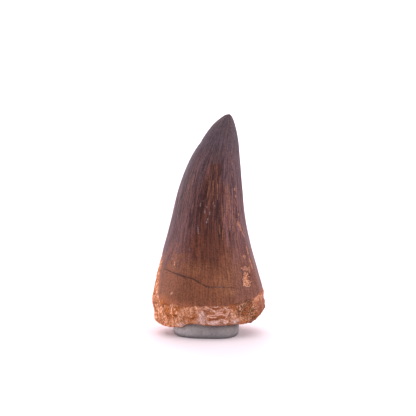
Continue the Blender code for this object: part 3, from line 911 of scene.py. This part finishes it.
# Its ridges, its strands and the edges of its layers are pale, and some patches nearly white. The
# strands stand upright, or lie along the layers.
pale = kept(tree, "pale")
pale_colour = cover(tree, layered, BONE_PALE, BONE_PINK)
bone = cover(tree, rise(tree, pale, 0.3, 0.9, high=0.8), bone, pale_colour)
standing = placed(tree, CURLS, Vector=stretched(tree, here, (1.0, 1.0, 0.5)), Size=1.0, Width=0.09)
lying = placed(tree, CURLS, Vector=stretched(tree, here, (0.5, 0.5, 1.4)), Size=1.0, Width=0.09)
strands = add(tree, "Mix", {0: layered, 2: standing, 3: lying}).outputs[0]
strands = times(tree, strands, rise(tree, mottle, 0.3, 0.7))
strands = times(tree, strands, rise(tree, number(tree, "ABSOLUTE", above), 0.05, 0.3))
bone = cover(tree, times(tree, strands, 0.75), bone, pale_colour)
whitened = times(tree, kept(tree, "white"), rise(tree, dashes, 0.2, 0.6, 0.55, 0.95))
bone = cover(tree, whitened, bone, BONE_WHITE)

# At the right it is tawny and reddish, with an olive crust. It is unevenly dusty, and paler at the left:
# painted light from that side.
bone = cover(tree, times(tree, kept(tree, "tawny"), 0.7), bone, BONE_TAWNY)
bone = cover(tree, times(tree, kept(tree, "reddish"), 0.9), bone, BONE_RED)
crust = kept(tree, "crust")
crusted = times(tree, rise(tree, crust, 0.1, 0.6), rise(tree, dust, 0.6, 0.4, 0.1, 0.75))
bone = cover(tree, crusted, bone, CRUST_OLIVE)
bone = darkened(tree, bone, rise(tree, crust, 0.0, 0.7, 1.0, 0.8))
bone = darkened(tree, bone, rise(tree, dust, 0.25, 0.75, 0.75, 1.25))
bone = darkened(tree, bone, rise(tree, rightward, -9.5, -4.0, 1.3, 1.0))

# It is dark in its gaps, its specks of dirt, its pits and its dark strokes, and in the broken corner.
gaps = placed(tree, CURLS, Vector=stretched(tree, here, (1.0, 1.0, 0.6)), Size=0.8, Width=0.05)
dirty = times(tree, larger(tree, dirt, gaps), rise(tree, pale, 0.7, 0.3, high=0.5))
dirty = times(tree, dirty, rise(tree, above, 0.0, -0.4))
bone = cover(tree, dirty, bone, BONE_DARK)
bone = cover(tree, rise(tree, kept(tree, "dark_strokes"), 0.3, 0.9, high=0.6), bone, BONE_DARK)
bone = cover(tree, times(tree, kept(tree, "broken"), 0.7), bone, BONE_DARK)
bone = cover(tree, rise(tree, kept(tree, "pit"), 0.2, 0.8, high=0.7), bone, BONE_DARK)

# In the chips it is tawny with pale and dark flecks, and tan in their upper part.
chipped = kept(tree, "chipped")
chips = rise(tree, chipped, 0.1, 0.5)
bone = cover(tree, times(tree, chips, 0.5), bone, BONE_TAWNY)
bone = cover(tree, times(tree, chips, rise(tree, dust, 0.5, 0.75, 0.0, 0.8)), bone, BONE_PALE)
bone = cover(tree, times(tree, chips, rise(tree, level, 14.4, 15.4, high=0.8)), bone, CHIP_TAN)
bone = cover(tree, times(tree, chips, rise(tree, dust, 0.5, 0.3, 0.0, 0.75)), bone, ENAMEL_LOW)

# The bone is bare below the enamel's frayed edge, in the rubbed spots, and in the chips, whose rims are
# dark. It is rougher than the enamel, which has fine ribs in relief.
frayed = times(tree, kept(tree, "frayed"), rise(tree, dust, 0.1, 0.9, -1.1, 0.7))
bare = rise(tree, plus(tree, above, frayed), 0.08, -0.08)
rubbed = plus(tree, larger(tree, kept(tree, "rubbed"), chipped), times(tree, dust, 0.45))
bare = larger(tree, bare, rise(tree, rubbed, 0.62, 0.72))
rim = times(tree, rise(tree, rubbed, 0.4, 0.62, high=0.6), rise(tree, chipped, 0.1, 0.3))
enamel = cover(tree, rim, enamel, ENAMEL_VIOLET)
tree.links.new(cover(tree, bare, enamel, bone), shader.inputs["Base Color"])
roughness = rise(tree, bare, 0.0, 1.0, ENAMEL_ROUGHNESS, BONE_ROUGHNESS)
roughness = plus(tree, roughness, rise(tree, dust, 0.0, 1.0, -0.06, 0.06))
tree.links.new(roughness, shader.inputs["Roughness"])
relief = times(tree, ribs, rest(tree, bare))
relief = plus(tree, relief, times(tree, dust, rise(tree, bare, 0.0, 1.0, 0.4, 2.0)))
raised = add(tree, "Bump", {"Strength": 1.0, "Distance": FINE_RELIEF, "Height": relief})
tree.links.new(raised.outputs["Normal"], shader.inputs["Normal"])
mesh.materials.append(material)
tooth = bpy.data.objects.new("fossil_tooth", mesh)
bpy.context.scene.collection.objects.link(tooth)
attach(tooth, "root")
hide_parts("tooth")


# The putty pad: a ball of soft grey mounting putty, pressed flat between the tooth and the table. Its
# foot is flat, its side bulges, and its top has taken the form of the tooth's broken underside, which it
# holds upright.
PAD_RADIUS, PAD_FOOT_RADIUS, PAD_BULGE_Z = 7.7 * MM, 7.3 * MM, 1.9 * MM
PAD_SHOULDER, PAD_UNEVENNESS, PAD_WAVES, PAD_GAP = 0.93, 0.03, 1.3, 0.02 * MM
PAD_SQUARENESS = 2.6  # exponent of the outline, which is a circle at 2 and squarer above it
PAD_SPREAD, PAD_SPREAD_ANGLE, PAD_SPREAD_WIDTH = 0.10, -52.0, 32.0
PAD_SEGMENTS, PAD_SIDE_RINGS, PAD_TOP_RINGS, PAD_FOOT_RINGS = 200, 16, 24, 8
PAD_DENTS = ((0.07, 2.2), (0.02, 0.7))  # height and size, in millimetres, of the dents in its side
DENTED_ABOVE, DENTED_BEYOND = (0.0, 0.5 * MM), (5.5 * MM, 6.8 * MM)
PUTTY_ROUGHNESS, PUTTY_RELIEF = 0.75, 0.03 * MM
PUTTY_GREY = (0.334, 0.323, 0.322, 1.0)
PUTTY_DARK = (0.13, 0.13, 0.135, 1.0)


def pad_grid(angle):
    """The pad's points, ring by ring over its foot, up its bulging side and in over its top."""
    turn = np.radians(angle)
    uneven = 1.0 + PAD_UNEVENNESS * ring_noise(angle, PAD_WAVES)
    uneven *= 1.0 + PAD_SPREAD * bump(between(angle, PAD_SPREAD_ANGLE), PAD_SPREAD_WIDTH)
    squared = abs(np.cos(turn)) ** PAD_SQUARENESS + abs(np.sin(turn)) ** PAD_SQUARENESS
    uneven /= squared ** (1.0 / PAD_SQUARENESS)

    def ring(radius, z):
        x = radius * uneven * np.cos(turn)
        y = radius * uneven * np.sin(turn)
        return x, y, z

    rings = []
    for i in range(1, PAD_FOOT_RINGS):
        rings.append(np.column_stack(ring(PAD_FOOT_RADIUS * i / PAD_FOOT_RINGS, 0.0 * turn)))
    for i in range(PAD_SIDE_RINGS + 1):
        bulge = pi / 2.0 * i / PAD_SIDE_RINGS
        radius = PAD_FOOT_RADIUS + (PAD_RADIUS - PAD_FOOT_RADIUS) * sin(bulge)
        rings.append(np.column_stack(ring(radius, PAD_BULGE_Z * (1.0 - cos(bulge)) + 0.0 * turn)))
    for i in range(1, PAD_SIDE_RINGS + 1):
        share = i / PAD_SIDE_RINGS
        x, y, _ = ring(PAD_RADIUS * (1.0 - (1.0 - PAD_SHOULDER) * share**2), 0.0)
        level = PAD_BULGE_Z + (underside(x, y) - PAD_GAP - PAD_BULGE_Z) * share
        rings.append(np.column_stack((x, y, level)))
    for i in range(1, PAD_TOP_RINGS):
        x, y, _ = ring(PAD_RADIUS * PAD_SHOULDER * (1.0 - i / PAD_TOP_RINGS), 0.0)
        rings.append(np.column_stack((x, y, underside(x, y) - PAD_GAP)))
    return np.array(rings)


angle = BACK + 360.0 / PAD_SEGMENTS * np.arange(PAD_SEGMENTS)
grid = pad_grid(angle)
free = ease(grid[..., 2], *DENTED_ABOVE)
free *= ease(np.hypot(grid[..., 0], grid[..., 1]), *DENTED_BEYOND)
dents = sum(share * sampled(noise.noise, grid / MM / size) for share, size in PAD_DENTS)
grid = grid + (free * dents * MM)[..., None] * normals_of(grid)
mesh = closed_mesh("putty_pad_pressed", grid, grid[0].mean(axis=0), grid[-1].mean(axis=0))
material, tree, shader, here = new_material("putty", PUTTY_ROUGHNESS)
tone = placed(tree, UNEVEN, Vector=here, Size=1.4)
specks = placed(tree, SPECKS, Vector=here, Size=0.28, Share=0.15)
smears = placed(tree, UNEVEN, Vector=stretched(tree, here, (1.0, 1.0, 2.0)), Size=0.4)
grey = cover(tree, times(tree, tone, 0.3), PUTTY_GREY, PUTTY_DARK)
grey = darkened(tree, grey, rise(tree, smears, 0.2, 0.8, 0.88, 1.12))
grey = cover(tree, times(tree, specks, 0.7), grey, PUTTY_DARK)

# It is paler at the left and darker at the right, painted light and shade as if lit from the left, with
# painted shade under the tooth's rim and a painted contact shadow where it meets the table.
rightward, _, level = add(tree, "SeparateXYZ", {0: here}).outputs
grey = darkened(tree, grey, rise(tree, rightward, -7.0, 0.0, 1.6, 1.0))
grey = darkened(tree, grey, rise(tree, rightward, 0.0, 6.0, 1.0, 0.92))
grey = darkened(tree, grey, rise(tree, level, 2.4, 3.2, 1.0, 0.82))
grey = cover(tree, rise(tree, level, 1.2, 0.1, high=0.85), grey, PUTTY_DARK)
tree.links.new(grey, shader.inputs["Base Color"])
raised = add(tree, "Bump", {"Strength": 1.0, "Distance": PUTTY_RELIEF, "Height": smears})
tree.links.new(raised.outputs["Normal"], shader.inputs["Normal"])
mesh.materials.append(material)
pad = bpy.data.objects.new("putty_pad_pressed", mesh)
bpy.context.scene.collection.objects.link(pad)
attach(pad, "root")
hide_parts("putty_pad")


# The setting: a plain pale floor in a white tent. The tent's top, left, right and back are lit, the left
# most, and its front is dim. Its light is faintly pink, and bluer from the back, and two pink soft
# lights help it from the right and from behind.
FLOOR_SIZE = 6.0
FLOOR_COLOUR = (0.90, 0.905, 0.935, 1.0)
FLOOR_CARD = (0.25, 0.25, 0.25, 1.0)  # what the tooth's gloss reflects, as if a grey card lay there
TENT_TINT = (1.0, 0.88, 0.915, 1.0)
BACK_TINT = (0.77, 0.79, 0.96, 1.0)
LAMP_TINT = (1.0, 0.77, 0.82)
TENT_DIM, TENT_TOP, TENT_LEFT, TENT_RIGHT, TENT_BACK = 0.31, 1.2, 2.8, 1.2, 2.3
WHITE = (1.0, 1.0, 1.0, 1.0)  # the tent as the camera sees it
CAMERA_ELEVATION, CAMERA_DISTANCE = radians(10.0), 0.450
CAMERA_TARGET = Vector((0.47 * MM, 0.0, 29.4 * MM))
CAMERA_LENS = 167.5

bpy.ops.mesh.primitive_plane_add(size=FLOOR_SIZE)
floor = bpy.context.object
floor.name = "pale_floor"
material, tree, shader, here = new_material("pale_floor", 0.9)
shader.inputs["Base Color"].default_value = FLOOR_COLOUR
shader.inputs["Specular IOR Level"].default_value = 0.0
mirrored = add(tree, "LightPath", {}).outputs["Is Glossy Ray"]
card = add(tree, "BsdfDiffuse", {"Color": FLOOR_CARD}).outputs[0]
carded = add(tree, "MixShader", {0: mirrored, 1: shader.outputs[0], 2: card}).outputs[0]
tree.links.new(carded, tree.nodes["Material Output"].inputs["Surface"])
floor.data.materials.append(material)

world = bpy.data.worlds.new("white_tent")
world.use_nodes = True
bpy.context.scene.world = world
tree = world.node_tree

# Each wall's light comes on between two values of the direction: right, back and up are above 0.
towards = add(tree, "TexCoord", {}).outputs["Generated"]
rightward, backward, upward = add(tree, "SeparateXYZ", {0: towards}).outputs
top = times(tree, rise(tree, upward, 0.4, 0.85), TENT_TOP)
leftward = number(tree, "SUBTRACT", rightward, times(tree, backward, 0.3))
left = times(tree, rise(tree, leftward, -0.45, -1.1), TENT_LEFT)
left = times(tree, left, rise(tree, upward, 0.45, 0.0, 0.12, 1.0))
right = times(tree, rise(tree, rightward, 0.3, 0.7), TENT_RIGHT)
right = times(tree, right, rise(tree, upward, 0.0, 0.35, 0.5, 1.0))
back = times(tree, rise(tree, backward, 0.1, 0.8), rise(tree, upward, 0.6, 0.1))
strength = larger(tree, larger(tree, left, right), top)
strength = plus(tree, strength, plus(tree, times(tree, back, TENT_BACK), TENT_DIM))
seen = add(tree, "LightPath", {}).outputs["Is Camera Ray"]
tint = cover(tree, back, TENT_TINT, BACK_TINT)
tent = add(tree, "Background", {"Color": tint, "Strength": strength}).outputs[0]
white = add(tree, "Background", {"Color": WHITE, "Strength": 1.0}).outputs[0]
both = add(tree, "MixShader", {0: seen, 1: tent, 2: white}).outputs[0]
tree.links.new(both, tree.nodes["World Output"].inputs["Surface"])


def softbox(name, place, size, power):
    """A square soft light that faces the tooth."""
    lamp = bpy.data.lights.new(name, "AREA")
    lamp.shape = "SQUARE"
    lamp.size = size
    lamp.energy = power
    lamp.color = LAMP_TINT
    made = bpy.data.objects.new(name, lamp)
    made.location = place
    made.rotation_euler = (CAMERA_TARGET - Vector(place)).to_track_quat("-Z", "Y").to_euler()
    bpy.context.scene.collection.objects.link(made)


softbox("right_softbox", (0.45, -0.2, 0.30), size=0.3, power=0.3)
softbox("back_softbox", (-0.08, 0.57, 0.36), size=0.5, power=3.0)

lens = bpy.data.cameras.new("camera")
lens.lens = CAMERA_LENS
camera = bpy.data.objects.new("camera", lens)
away = Vector((0.0, -cos(CAMERA_ELEVATION), sin(CAMERA_ELEVATION)))
camera.location = CAMERA_TARGET + CAMERA_DISTANCE * away
camera.rotation_euler = (-away).to_track_quat("-Z", "Y").to_euler()
bpy.context.scene.collection.objects.link(camera)
bpy.context.scene.camera = camera
bpy.context.scene.view_settings.view_transform = "Standard"
